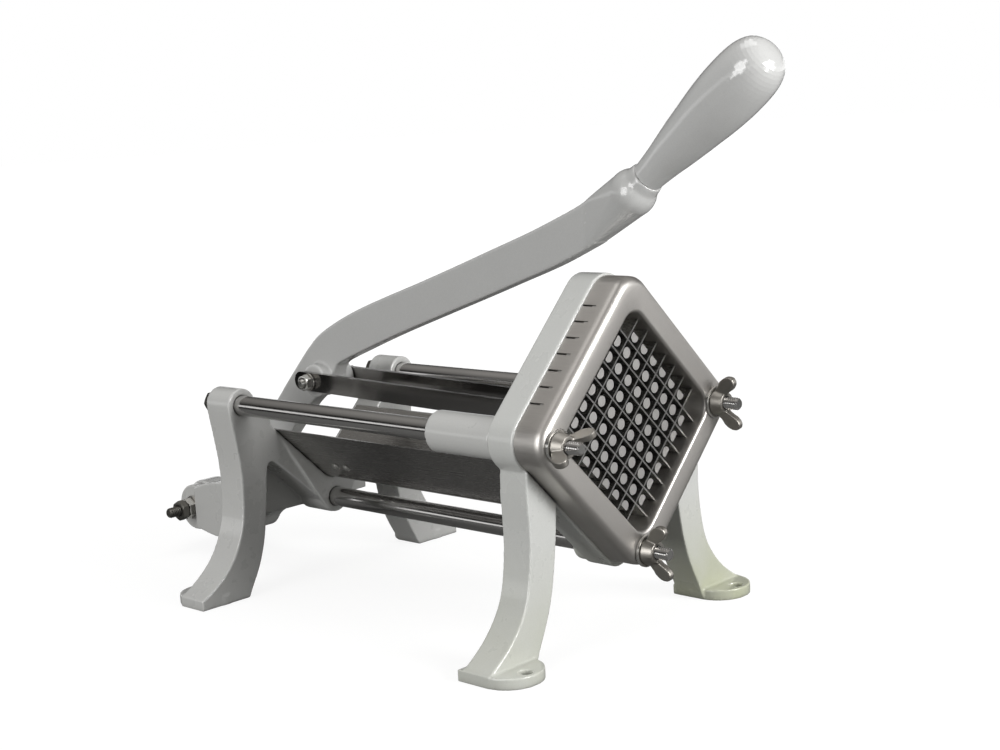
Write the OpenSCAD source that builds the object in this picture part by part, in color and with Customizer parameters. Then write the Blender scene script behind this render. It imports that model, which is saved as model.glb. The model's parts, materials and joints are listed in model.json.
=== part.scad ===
// Lever french fry cutter: a potato lies in a V trough between two cast frames,
// the hand lever draws a pin block along two guide rods, and the block pushes the
// potato through a square grid of blades.
// Millimetres. X runs right, Y runs from the blade face to the lever pivot, Z is up.
// The origin lies on the floor, midway between the two front bolt holes.

/* [Blade grid] */
// Width of one cell, from blade centre to blade centre
cell = 9.525; // [8:0.025:10]
// Blades in one direction, one fewer than the cells
blades_per_set = 7; // [5:1:7]
// Thickness of a blade
blade_t = 0.8; // [0.5:0.1:1.2]
// Diameter of a pusher pin
pin_d = 5.4; // [4:0.2:6]

/* [Frames] */
// Height of the grid centre and of the guide rods
axis_z = 108; // [104:1:110]
// Distance of each guide rod from the centre plane
rod_x = 60.5; // [59:0.5:62]
// Diameter of the guide rods and of the lower tie rod
rod_d = 11.1; // [10.5:0.1:12.7]
// Height of the lower tie rod
tie_z = 44.5; // [43:0.5:46]
// Front face of the rear frame
rear_y = 224; // [222:1:230]
// Thickness of the rear frame
rear_t = 20; // [18:1:24]
// Distance between the front and the rear bolt holes
foot_span = 250; // [248:1:252]
// Distance of a foot's bolt hole from the centre plane
foot_x = 82.2; // [80:0.2:84]
// Diameter of the bolt holes in the feet
foot_hole_d = 7; // [5:0.5:8]

/* [Lever] */
// Lever pivot behind the origin
pivot_y = 342; // [340:1:344]
// Height of the lever pivot
pivot_z = 26; // [25:1:27]
// Thickness of the lever bar
lever_t = 10; // [8:1:11]
// Largest diameter of the grip
grip_d = 30; // [26:1:34]

/* [Links] */
// Link pivot on the lever, behind the origin
link_y = 220.5; // [220:0.5:221]
// Height of the link pivot on the lever
link_z = 114; // [113:0.5:115]
// Link pivot on the pusher, behind the origin
hub_y = 52; // [50:1:54]
// Height of the link pivot on the pusher
hub_z = 110; // [109:1:111]
// Thickness of a link bar
link_t = 3; // [2:0.5:4]

/* [Hidden] */

// Colours
enamel = [0.72, 0.73, 0.72];
sheet_steel = [0.70, 0.69, 0.66];
polished = [0.82, 0.82, 0.84];
dark_steel = [0.22, 0.22, 0.23];

bore_fit = 0.05;                 // radial clearance of a running fit
seat_gap = 0.1;                  // left between parts that only rest against each other

// Front frame and pan
pan_front = -7;                  // front face of the pan
frame_front = 10;                // seam between the pan and the casting
frame_back = 26;                 // rear face of the front casting
leg_front = 8.5;                 // the legs stand a little in front of the seam
pan_half = 54.2;                 // half the side of the pan's square
pan_corner = 14;
sheet_t = 1.2;
casting_half = pan_half + 1.2;   // the casting shows as a rim round the pan
opening_half = cell * (blades_per_set + 1) / 2;
opening_corner = 9;
mouth_half = 40.5;                // half the side of the pan's mouth in front of the blades

// Blades
blade_front = -2;
blade_back = frame_front - seat_gap;
blade_half_way = 4;              // where the two sets meet at a crossing
blade_reach = pan_half - sheet_t - 0.2;
slot_t = blade_t + seat_gap;

// Feet
foot_t = 5.6;
foot_in = 65.5;
foot_out = 97.9;
foot_r = (foot_out - foot_in) / 2;
foot_mid = (foot_out + foot_in) / 2;
foot_round = 10.2;               // round end of a foot tab to its bolt hole

// Rods and their fasteners
stud_d = 6.4;
stud_tip = -22.3;
rear_back = rear_y + rear_t;
rod_places = [[-rod_x, axis_z], [rod_x, axis_z], [0, tie_z]];
boss_r = 9.3;                    // where a rod ends in the rear frame
nut_af = 11;
nut_h = 5.5;
rear_washer_t = 1;
rear_seat = rear_back + seat_gap;
rod_end = rear_seat + rear_washer_t + nut_h + 2.5;
washer_t = 1.6;

// Wing nuts
wing_back = pan_front - washer_t - 0.1;
wing_h = 6;
wing_turns = [25, 100, 98];      // how far each one happens to be turned

// Trough
trough_in = opening_half + 0.1;  // sheet to grid centre, square to the sheet
trough_t = 1.2;
trough_corner = 9;               // inside radius at the bottom of the V
trough_top = 90.5;
trough_back = 240;

// Pusher
plate_half = opening_half - 0.6;
plate_front = 15;
plate_back = 24;
pin_tip = -0.9;
sleeve_d = 20.8;
sleeve_front = frame_back + 0.5;
sleeve_back = 69;
bush_r = rod_d / 2 + 1.6;
hub_half = 11.2;

// Links and lever
link_in = 11.5;
link_out = link_in + link_t;
link_h = 10.5;
link_bolt_d = 5;
boss_half = 11.3;
pivot_d = 6.4;
fork_in = 7.5;
fork_ear = 14.5;
fork_out = 19.5;
ear_r = 14;

// Grip: its axis starts inside the lever's knuckle and rises forwards
knuckle_r = 11.7;
knuckle_depth = 14.7;            // from the grip's base down to the knuckle's centre
grip_base = [-20.7, 227.2];      // y, z
grip_tilt = 37.3;                // above the horizontal
grip_seam = -2.5;                // the grip meets the knuckle here along its axis
grip_stud_front = 39;
grip_stud_back = -14;

// A smooth curve through points, with steps places between neighbours
function bend(a, b, c, d, t) =
  0.5 * (2 * b + (c - a) * t + (2 * a - 5 * b + 4 * c - d) * t * t
  + (3 * b - a - 3 * c + d) * t * t * t);
function curve(p, steps = 5) = [
  for (i = [0:len(p) - 2]) for (k = [0:steps - 1])
    bend(p[max(i - 1, 0)], p[i], p[i + 1], p[min(i + 2, len(p) - 1)], k / steps),
  p[len(p) - 1]
];

// Points along an arc from angle a to angle b
function arc(c, r, a, b, steps = 12) = [
  for (k = [0:steps]) c + r * [cos(a + (b - a) * k / steps), sin(a + (b - a) * k / steps)]
];

// An outline drawn in X and Z, as thick as y0 to y1
module front_slab(y0, y1) {
  translate([0, y1, 0]) rotate([90, 0, 0]) linear_extrude(y1 - y0) children();
}

// An outline drawn in Y and Z, as thick as x0 to x1
module side_slab(x0, x1) {
  translate([x0, 0, 0]) rotate([90, 0, 90]) linear_extrude(x1 - x0) children();
}

module pin_y(x, z, y0, y1, r, fn = 48) {
  translate([x, y0, z]) rotate([-90, 0, 0]) cylinder(r = r, h = y1 - y0, $fn = fn);
}

module pin_x(y, z, x0, x1, r, fn = 48) {
  translate([x0, y, z]) rotate([0, 90, 0]) cylinder(r = r, h = x1 - x0, $fn = fn);
}

// A square standing on its corner, with round corners
module diamond(half, r) {
  translate([0, axis_z]) rotate(45) {
    square([2 * half, 2 * (half - r)], center = true);
    square([2 * (half - r), 2 * half], center = true);
    for (sx = [-1, 1], sy = [-1, 1]) {
      translate([sx * (half - r), sy * (half - r)]) circle(r = r, $fn = 64);
    }
  }
}

module both_sides() {
  children();
  mirror([1, 0, 0]) children();
}

// One foot tab: a flat plate that is round past its bolt hole and straight at its leg
module foot_tab(hole_y, round_y, straight_y) {
  difference() {
    linear_extrude(foot_t) {
      translate([foot_mid, round_y]) circle(r = foot_r, $fn = 64);
      translate([foot_in, min(round_y, straight_y)])
        square([foot_out - foot_in, abs(straight_y - round_y)]);
    }
    translate([foot_x, hole_y, -1]) cylinder(r = foot_hole_d / 2, h = foot_t + 2, $fn = 48);
  }
}

// Right front leg in X and Z
module front_leg_outline() {
  outer = [[64, 100], [65.5, 84], [65, 63], [66.4, 47], [69.4, 34], [75, 24], [83.4, 14.9],
           [93.5, 7.6], [foot_out, foot_t]];
  inner = [[foot_in, 0], [62.4, 8], [58.2, 16.6], [54.3, 25.5], [51, 36.5], [48.4, 50],
           [46.4, 65], [45, 82]];
  polygon(concat(curve(outer), [[foot_out, 0]], curve(inner)));
}

module front_frame() {
  color(enamel) difference() {
    union() {
      front_slab(frame_front, frame_back) diamond(casting_half, pan_corner + 1.2);
      difference() {
        both_sides() front_slab(leg_front, frame_back) front_leg_outline();
        front_slab(leg_front - 1, frame_front) diamond(pan_half + 0.4, pan_corner);
      }
      both_sides() foot_tab(0, foot_round, frame_back + 3);
      pin_y(0, tie_z, frame_front, frame_back + 6, 9.5);
      for (p = rod_places) pin_y(p[0], p[1], frame_front, frame_back, 10.4);
    }
    front_slab(frame_front - 1, frame_back + 1) diamond(opening_half + 0.9, opening_corner + 1);
    for (p = rod_places) {
      pin_y(p[0], p[1], frame_front - 3, frame_back + 8, stud_d / 2);
      pin_y(p[0], p[1], frame_front + 4, frame_back + 8, rod_d / 2);
    }
  }
}

// Right half of the rear frame in X and Z: leg, sloping web and notch for the trough
module rear_half_outline() {
  notch_side = axis_z - (trough_in + trough_t) * sqrt(2);
  outer = [[69.7, 106], [68.8, 100], [67.2, 90], [65, 73], [65.1, 56], [66.8, 42], [71.3, 30],
           [78.6, 19.4], [89.1, 10.6], [foot_out, foot_t]];
  inner = [[foot_in, 0], [63, 5], [58.8, 12.5], [55.2, 20.5], [52, 31], [49.5, 45], [47.6, 60],
           [46.6, 69]];
  under_web = concat(arc([43.2, 69.8], 3.2, 0, 130, 6), curve([[36.5, 68.6], [32.7, 65.3],
           [23.1, 56.7], [13.3, 47.6], [8.3, 42.6], [4.5, 38.4], [0, 35.5]]));
  top = [[0, notch_side + 6], [41.2, notch_side + 41.2], [41.8, 99.5], [50, 102], [52, 106]];
  polygon(concat(curve(outer), [[foot_out, 0]], curve(inner), under_web, top));
}

// A low wedge on the front of the web that rises from the trough's corner to the tie rod
module web_gusset() {
  base = rear_y + 0.4;
  rise = rear_y - 2.4;
  hull() {
    for (p = [[36, base, 86.6], [18, base, 68.8], [5, base, 57.4], [14, rise, 49.6], [5, rise, 40]])
      translate(p) sphere(r = 0.4, $fn = 16);
    pin_y(0, tie_z, rise, rear_y, 9);
  }
}

// One arm of the lever's fork in Y and Z
module fork_outline() {
  top = [[rear_back - 1, 60], [252, 53], [264, 49.4], [284, 47.6], [304, 46.8], [316, 45.4],
         [325, 43.4], [333, 40.6]];
  below = [[330, 14.4], [318, 12.2], [309, 12], [303, 15], [298, 20.6], [291, 24.6], [279, 28.2],
           [262.6, 33.4], [253, 36.4], [rear_back - 1, 38.6]];
  polygon(concat(curve(top), arc([pivot_y, pivot_z], ear_r, 100, -120, 20), curve(below)));
}

// Right half of the wall behind the web, seen from above; it runs out into the fork
module fork_root_plan() {
  root_back = rear_back + 17;
  root_half = 42;
  flare = curve([[fork_out, root_back], [22.5, rear_back + 8], [29, rear_back + 3],
                 [root_half, rear_back + 0.5]], 4);
  polygon(concat([[fork_in, rear_back - 1], [fork_in, root_back]], flare,
    [[root_half, rear_back - 1]]));
}

// The fork's arms and the wall that joins them to the web
module fork() {
  root_low = 38.6;
  both_sides() {
    difference() {
      side_slab(fork_in, fork_out) fork_outline();
      translate([fork_ear, pivot_y - 7.8, 0]) cube([10, 40, 60]);
    }
    intersection() {
      translate([0, 0, root_low]) linear_extrude(50) fork_root_plan();
      front_slab(rear_back - 1, rear_back + 20)
        polygon([[0, root_low], [43, root_low], [43, 80], [34, 73], [20, 60], [0, 60]]);
    }
  }
}

module rear_frame() {
  color(enamel) difference() {
    union() {
      both_sides() {
        front_slab(rear_y, rear_back) rear_half_outline();
        foot_tab(foot_span, foot_span - foot_round, rear_y);
        web_gusset();
      }
      for (p = rod_places) pin_y(p[0], p[1], rear_y, rear_back, boss_r);
      fork();
    }
    for (p = rod_places) pin_y(p[0], p[1], rear_y - 8, rear_back + 1, rod_d / 2);
    pin_x(pivot_y, pivot_z, -30, 30, pivot_d / 2);
    front_slab(rear_y - 9, rear_back + 9) intersection() {
      diamond(trough_in + trough_t + seat_gap, trough_corner + trough_t);
      square_at(-50, 50, 50, 93.5);
    }
  }
}

// A rod with a thin stud at the front and a thread for its nut at the rear
module frame_rod(x, z) {
  pin_y(x, z, frame_front + 4, rear_back - 1, rod_d / 2);
  pin_y(x, z, stud_tip + 1, frame_front + 4, stud_d / 2);
  translate([x, stud_tip + 1, z]) rotate([90, 0, 0])
    cylinder(r1 = stud_d / 2, r2 = stud_d / 2 - 1, h = 1, $fn = 48);
  pin_y(x, z, rear_back - 1, rod_end, stud_d / 2);
}

module guide_rod_left() { color(polished) frame_rod(-rod_x, axis_z); }
module guide_rod_right() { color(polished) frame_rod(rod_x, axis_z); }
module tie_rod_bottom() { color(polished) frame_rod(0, tie_z); }

module hex_nut_y(x, z, y0, af, h, bore_r) {
  difference() {
    pin_y(x, z, y0, y0 + h, af / sqrt(3), 6);
    pin_y(x, z, y0 - 1, y0 + h + 1, bore_r);
  }
}

module hex_nut_x(y, z, x0, af, h, bore_r) {
  difference() {
    pin_x(y, z, x0, x0 + h, af / sqrt(3), 6);
    pin_x(y, z, x0 - 1, x0 + h + 1, bore_r);
  }
}

module ring_y(x, z, y0, r, h, bore_r) {
  difference() {
    pin_y(x, z, y0, y0 + h, r);
    pin_y(x, z, y0 - 1, y0 + h + 1, bore_r);
  }
}

module ring_x(y, z, x0, r, h, bore_r) {
  difference() {
    pin_x(y, z, x0, x0 + h, r);
    pin_x(y, z, x0 - 1, x0 + h + 1, bore_r);
  }
}

module rod_rear_washers() {
  color(polished) for (p = rod_places)
    ring_y(p[0], p[1], rear_seat, 6.6, rear_washer_t, stud_d / 2);
}

module rod_rear_nuts() {
  color(dark_steel) for (p = rod_places) {
    hex_nut_y(p[0], p[1], rear_seat + rear_washer_t, nut_af, nut_h, stud_d / 2);
  }
}

// V sheet with a round bottom, from the front frame into the notch of the rear frame
module food_trough() {
  side = 200;
  color(sheet_steel) front_slab(frame_back + seat_gap, trough_back) intersection() {
    difference() {
      diamond(trough_in + trough_t, trough_corner + trough_t);
      diamond(trough_in, trough_corner);
    }
    translate([-side / 2, trough_top - side]) square(side);
  }
}

// Flat rivet heads, two on each flank of the trough
module trough_rivets() {
  from_bottom = 18.9;
  color(polished) both_sides() for (y = [194, 203]) {
    translate([0, y, axis_z]) rotate([0, 45, 0])
      translate([from_bottom, 0, -trough_in - trough_t]) rotate([180, 0, 0])
      cylinder(r1 = 2.6, r2 = 1.6, h = 1, $fn = 32);
  }
}

// Outside of the pan with a rounded front edge, inset by the sheet on its inside
module pan_shell(inset, y_back) {
  edge = 4;
  hull() {
    front_slab(pan_front + edge, y_back) diamond_32(pan_half - inset, pan_corner - inset);
    for (a = [30, 60, 90]) {
      depth = (edge - inset) * (1 - cos(a));
      drop = (edge - inset) * sin(a);
      front_slab(pan_front + edge - drop, pan_front + edge)
        diamond_32(pan_half - inset - depth, pan_corner - inset - depth);
    }
  }
}

module diamond_32(half, r) {
  translate([0, axis_z]) rotate(45) {
    for (sx = [-1, 1], sy = [-1, 1]) {
      translate([sx * (half - r), sy * (half - r)]) circle(r = r, $fn = 32);
    }
  }
}

// Deep stainless pan that holds the blades: slotted side wall, front ring, slotted inner wall
module blade_pan() {
  slot_front = 1.5;
  wall_slot = 1.1;
  color(sheet_steel) difference() {
    union() {
      difference() {
        pan_shell(0, frame_front);
        pan_shell(sheet_t, frame_front + 1);
      }
      difference() {
        front_slab(pan_front, blade_back)
          diamond(mouth_half + sheet_t, opening_corner + sheet_t);
        for (turn = [45, -45])
          blade_set(turn, blade_front - seat_gap, blade_back + 1, pan_half, slot_t);
      }
    }
    front_slab(pan_front - 1, blade_back + 1) diamond(mouth_half, opening_corner);
    for (p = rod_places) pin_y(p[0], p[1], pan_front - 1, pan_front + 3, stud_d / 2);
    for (i = [0:blades_per_set - 1]) translate([0, 0, axis_z]) rotate([0, 45, 0])
      translate([-pan_half - 1, slot_front, blade_place(i) - wall_slot / 2])
        cube([2 * pan_half + 2, frame_front - slot_front + 1, wall_slot]);
  }
}

// Place of one blade of a set, measured across the set from the grid centre
function blade_place(i) = (i - (blades_per_set - 1) / 2) * cell;

// One set of parallel blades; turn is how far the set is turned about the grid centre
module blade_set(turn, y0, y1, reach, t = blade_t) {
  translate([0, 0, axis_z]) rotate([0, turn, 0]) for (i = [0:blades_per_set - 1]) {
    translate([-reach, y0, blade_place(i) - t / 2]) cube([2 * reach, y1 - y0, t]);
  }
}

// First set: halved from behind where it crosses the other; its tabs sit in the pan's slots
module blades_front_set() {
  color(polished) {
    difference() {
      blade_set(45, blade_front, blade_back, blade_reach);
      blade_set(-45, blade_half_way, blade_back + 1, blade_reach + 1, slot_t);
    }
    blade_set(45, 1.8, blade_half_way - 0.1, pan_half - 0.3);
  }
}

// Second set: halved from the front
module blades_rear_set() {
  color(polished) difference() {
    blade_set(-45, blade_front, blade_back, blade_reach);
    blade_set(45, blade_front - 1, blade_half_way, pan_half, slot_t);
  }
}

module wing_nut_washers() {
  color(polished) for (p = rod_places) {
    ring_y(p[0], p[1], pan_front - washer_t, 8, washer_t, stud_d / 2);
  }
}

// One wing in radius and distance from the pan
module wing_outline() {
  polygon(curve([[3.4, 0.8], [6.6, 0.8], [9, 2.6], [11.8, 4.4], [13.9, 8], [13.5, 11.6], [10.8, 12.8],
    [7.8, 11.2], [5.4, 7.6], [3.4, 5.6]]));
}

module wing_nut(i) {
  p = rod_places[i];
  translate([p[0], wing_back, p[1]]) rotate([90, 0, 0]) rotate([0, 0, wing_turns[i]]) difference() {
    union() {
      cylinder(r1 = 6.8, r2 = 5.2, h = wing_h, $fn = 48);
      for (a = [0, 180]) rotate([0, 0, a]) rotate([90, 0, 0]) translate([0, 0, -1.6])
        linear_extrude(3.2) wing_outline();
    }
    translate([0, 0, -1]) cylinder(r = stud_d / 2 + bore_fit, h = wing_h + 6, $fn = 48);
  }
}

module wing_nut_left() { color(dark_steel) wing_nut(0); }
module wing_nut_right() { color(dark_steel) wing_nut(1); }
module wing_nut_bottom() { color(dark_steel) wing_nut(2); }

// The casting that slides on the guide rods: plate, cross arms, sleeves and hub
module pusher_block() {
  arm_back = frame_back + 9;
  rib_half = 3;
  color(enamel) difference() {
    union() {
      front_slab(plate_front, plate_back) diamond(plate_half, opening_corner);
      front_slab(sleeve_front, arm_back) polygon(concat(
        [[-rod_x, axis_z - 8]], curve([[-rod_x + 9, axis_z - 8], [-38, axis_z - 8.6],
        [-20, axis_z - 11], [0, axis_z - 12], [20, axis_z - 11], [38, axis_z - 8.6],
        [rod_x - 9, axis_z - 8]]), [[rod_x, axis_z - 8], [rod_x, axis_z + 8], [-rod_x, axis_z + 8]]));
      for (x = [-rod_x, rod_x]) pin_y(x, axis_z, sleeve_front, sleeve_back, sleeve_d / 2);
      front_slab(plate_back - 1, arm_back) square_at(-16, 16, axis_z - 11, axis_z + 7.5);
      side_slab(-rib_half, rib_half) polygon([[plate_back - 1, axis_z - 34], [plate_back - 1,
        axis_z + 34], [arm_back, axis_z + 12], [arm_back, axis_z - 12]]);
      side_slab(-hub_half, hub_half) polygon(concat([[plate_back, 94], [plate_back, 122]],
        curve([[30, 122], [38, 120.5], [46, 119.8]]), arc([hub_y, hub_z], 10, 85, -100, 14),
        curve([[44, 97.5], [34, 94]])));
    }
    for (x = [-rod_x, rod_x]) pin_y(x, axis_z, sleeve_front - 1, sleeve_back + 1, bush_r);
    pin_x(hub_y, hub_z, -hub_half - 1, hub_half + 1, 2.5);
  }
}

module square_at(x0, x1, z0, z1) {
  translate([x0, z0]) square([x1 - x0, z1 - z0]);
}

// Plain bearing bushes pressed into the sleeves
module pusher_bushes() {
  color([0.62, 0.52, 0.32]) for (x = [-rod_x, rod_x]) {
    ring_y(x, axis_z, sleeve_front, bush_r, sleeve_back - sleeve_front, rod_d / 2 + bore_fit);
  }
}

// One pin behind each cell except the four corners; the outer ones are cut flat
module pusher_pins() {
  last = blades_per_set;
  flat_half = 34.6;
  color(polished) intersection() {
    for (i = [0:last], k = [0:last]) {
      u = (i - last / 2) * cell;
      v = (k - last / 2) * cell;
      if (i % last + k % last > 0)
        pin_y((u - v) / sqrt(2), axis_z + (u + v) / sqrt(2), pin_tip, plate_front, pin_d / 2, 24);
    }
    front_slab(pin_tip - 1, plate_front + 1) diamond(flat_half, 1);
  }
}

link_len = norm([link_y - hub_y, link_z - hub_z]);
link_slope = atan2(link_z - hub_z, link_y - hub_y);

// A flat bar with round ends from the pusher's pivot to the lever's bolt
module link_bar(x0) {
  r = link_h / 2;
  front_reach = 2;
  rear_reach = 7.5;
  difference() {
    side_slab(x0, x0 + link_t) translate([hub_y, hub_z]) rotate(link_slope) {
      translate([-front_reach, -r]) square([link_len + front_reach + rear_reach, link_h]);
      for (along = [-front_reach, link_len + rear_reach]) {
        translate([along, 0]) circle(r = r, $fn = 48);
      }
    }
    pin_x(link_y, link_z, x0 - 1, x0 + link_t + 1, link_bolt_d / 2 + bore_fit);
    pin_x(hub_y, hub_z, x0 - 1, x0 + link_t + 1, 4);
  }
}

module link_bar_left() { color(polished) link_bar(-link_out); }
module link_bar_right() { color(polished) link_bar(link_in); }

// Shoulder screws that join the bars to the pusher's hub
module link_front_screws() {
  color(polished) both_sides() {
    pin_x(hub_y, hub_z, link_in - 0.2, link_out, 4);
    pin_x(hub_y, hub_z, link_out, link_out + 2.6, 6.5);
  }
}

// Lever bar seen from the side: foot boss, straight shank, bend, long arm
module lever_outline() {
  rear_edge = [[-1, 225], [7.5, 220.2], [15.2, 215.8], [23.1, 211.8], [39, 205.4], [55.4, 199.2],
               [80.9, 190.5], [107.5, 181.4], [135.3, 172.2], [164.5, 162.9], [184.8, 156],
               [202.8, 148.8], [220.1, 140.1], [231.8, 130.8], [242.9, 119.9], [262.8, 99.4],
               [290, 71.5], [316, 46], [333, 39.6]];
  front_edge = [[331, 14.4], [318, 19], [300, 33], [275.5, 57], [252, 81], [237, 95.5], [228, 102.5],
                [219, 107], [213, 111.5], [210.4, 118], [206.7, 123.4], [199.5, 126.8], [188.5, 131],
                [168, 138.7], [148.2, 145.7], [119.7, 155.3], [92.5, 164.4], [66.5, 173.3],
                [41.6, 181.9], [25.6, 188.4], [12, 194.4]];
  polygon(concat(curve(rear_edge), arc([pivot_y, pivot_z], 15.5, 118, -130, 20), curve(front_edge)));
}

// The round knuckle below the grip, and its flank that runs out into the bar
module lever_knuckle() {
  mid = -knuckle_depth;
  round_part = arc([0, mid], knuckle_r, -90, 38, 24);
  along_grip() rotate_extrude($fn = 64)
    polygon(concat(round_part, [[8.7, -4.6], [8.4, grip_seam], [0, grip_seam]]));
  hull() {
    along_grip() translate([0, 0, mid]) sphere(r = knuckle_r - 0.1, $fn = 48);
    side_slab(-lever_t / 2, lever_t / 2)
      polygon([[15.2, 215.8], [16.4, 192.5], [18.4, 191.6], [17.2, 214.7]]);
  }
}

module lever_arm() {
  color(enamel) difference() {
    union() {
      side_slab(-lever_t / 2, lever_t / 2) lever_outline();
      lever_knuckle();
      pin_x(link_y, link_z, -boss_half, boss_half, 9.5);
      pin_x(pivot_y, pivot_z, -fork_in + 0.4, fork_in - 0.4, 15.5);
    }
    pin_x(link_y, link_z, -boss_half - 1, boss_half + 1, link_bolt_d / 2);
    pin_x(pivot_y, pivot_z, -fork_in, fork_in, pivot_d / 2 + bore_fit);
    along_grip() translate([0, 0, grip_stud_back - 0.1])
      cylinder(r = stud_d / 2, h = 30, $fn = 48);
  }
}

// Puts its children on the grip's axis, with Z pointing to the free end
module along_grip() {
  translate([0, grip_base[0], grip_base[1]]) rotate([90 - grip_tilt, 0, 0]) children();
}

// Radius of the pear-shaped grip along its length
function grip_profile() = let (r = grip_d / 2) [
  [r * 0.52, grip_seam + 0.1], [r * 0.54, 1], [r * 0.605, 9], [r * 0.70, 18], [r * 0.785, 27],
  [r * 0.86, 36],
  [r * 0.935, 45], [r * 0.985, 54], [r, 62], [r * 0.985, 70], [r * 0.92, 76.5], [r * 0.76, 82],
  [r * 0.48, 85.4], [r * 0.2, 86.4], [0, 86.5]
];

module lever_grip() {
  color(enamel) difference() {
    along_grip() rotate_extrude($fn = 64)
      polygon(concat([[0, grip_seam + 0.1]], curve(grip_profile(), 3)));
    along_grip() translate([0, 0, grip_seam - 1])
      cylinder(r = stud_d / 2, h = grip_stud_front - grip_seam + 2, $fn = 48);
  }
}

module grip_stud() {
  color(polished) along_grip() translate([0, 0, grip_stud_back])
    cylinder(r = stud_d / 2, h = grip_stud_front - grip_stud_back, $fn = 48);
}

// Bolt with its head on the right and its thread on the left
module cross_bolt(y, z, d, head_x, tip_x, af, head_h) {
  pin_x(y, z, tip_x + 0.8, head_x, d / 2);
  pin_x(y, z, tip_x, tip_x + 0.8, d / 2 - 0.7);
  pin_x(y, z, head_x, head_x + head_h, af / sqrt(3), 6);
}

link_washer_t = 1;
link_seat = link_out + seat_gap;
link_nut_af = 8;
link_nut_h = 4;
pivot_seat = fork_ear + seat_gap;

module link_bolt() {
  color(polished) cross_bolt(link_y, link_z, link_bolt_d, link_seat + link_washer_t,
    -link_seat - link_washer_t - link_nut_h - 2, link_nut_af, 3.4);
}

module link_washers() {
  color(polished) both_sides()
    ring_x(link_y, link_z, link_seat, 5, link_washer_t, link_bolt_d / 2);
}

module link_bolt_nut() {
  color(polished) hex_nut_x(link_y, link_z, -link_seat - link_washer_t - link_nut_h, link_nut_af,
    link_nut_h, link_bolt_d / 2);
}

module pivot_bolt() {
  color(dark_steel)
    cross_bolt(pivot_y, pivot_z, pivot_d, pivot_seat + washer_t, -34, nut_af, 4.4);
}

module pivot_washers() {
  color(polished) both_sides() ring_x(pivot_y, pivot_z, pivot_seat, 7.4, washer_t, pivot_d / 2);
}

module pivot_nut() {
  color(polished)
    hex_nut_x(pivot_y, pivot_z, -pivot_seat - washer_t - nut_h, nut_af, nut_h, pivot_d / 2);
}

module pivot_lock_nut() {
  lock_h = 4.5;
  color(dark_steel) hex_nut_x(pivot_y, pivot_z, -pivot_seat - washer_t - nut_h - 0.4 - lock_h,
    nut_af, lock_h, pivot_d / 2);
}

front_frame();
rear_frame();
guide_rod_left();
guide_rod_right();
tie_rod_bottom();
rod_rear_washers();
rod_rear_nuts();
food_trough();
trough_rivets();
blade_pan();
blades_front_set();
blades_rear_set();
wing_nut_washers();
wing_nut_left();
wing_nut_right();
wing_nut_bottom();
pusher_block();
pusher_bushes();
pusher_pins();
link_bar_left();
link_bar_right();
link_front_screws();
lever_arm();
lever_grip();
grip_stud();
link_bolt();
link_washers();
link_bolt_nut();
pivot_bolt();
pivot_washers();
pivot_nut();
pivot_lock_nut();
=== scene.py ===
"""A lever french fry cutter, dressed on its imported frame.

Metres. X runs right, Y runs from the blade face to the lever pivot, Z is up.
"""
import json
import math

import bmesh
import bpy
from mathutils import Matrix, Vector

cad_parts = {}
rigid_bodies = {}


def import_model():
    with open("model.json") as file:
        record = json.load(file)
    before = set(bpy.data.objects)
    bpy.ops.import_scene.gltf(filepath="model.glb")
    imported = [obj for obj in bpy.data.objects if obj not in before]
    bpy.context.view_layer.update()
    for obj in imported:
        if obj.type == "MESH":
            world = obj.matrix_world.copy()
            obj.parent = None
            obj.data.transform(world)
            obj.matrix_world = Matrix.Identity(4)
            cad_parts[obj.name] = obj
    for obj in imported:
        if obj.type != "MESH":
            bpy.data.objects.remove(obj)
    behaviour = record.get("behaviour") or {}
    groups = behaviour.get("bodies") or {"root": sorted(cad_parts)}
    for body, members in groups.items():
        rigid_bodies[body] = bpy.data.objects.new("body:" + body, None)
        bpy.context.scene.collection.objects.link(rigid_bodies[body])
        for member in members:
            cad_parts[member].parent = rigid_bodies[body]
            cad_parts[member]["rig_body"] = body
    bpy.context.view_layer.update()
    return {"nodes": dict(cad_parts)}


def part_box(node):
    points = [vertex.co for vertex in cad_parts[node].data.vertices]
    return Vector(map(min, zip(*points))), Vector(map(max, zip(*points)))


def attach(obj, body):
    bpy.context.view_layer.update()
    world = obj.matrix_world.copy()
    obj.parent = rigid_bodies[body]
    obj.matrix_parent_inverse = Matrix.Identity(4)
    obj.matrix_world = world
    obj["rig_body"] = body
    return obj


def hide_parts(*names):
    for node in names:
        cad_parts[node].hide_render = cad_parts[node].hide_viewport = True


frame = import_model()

MM = 0.001
TAU = 2 * math.pi

# ---------------------------------------------------------------- camera

PICTURE_WIDTH = 1000
FOCAL_PIXELS = 1675.4
SENSOR = 36.0
CAMERA_AT = Vector((-615.8, -508.5, 262.4)) * MM
CAMERA_AZIMUTH = math.radians(-46.09)
CAMERA_HEIGHT = math.radians(9.13)
CAMERA_ROLL = math.radians(-3.38)


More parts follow.
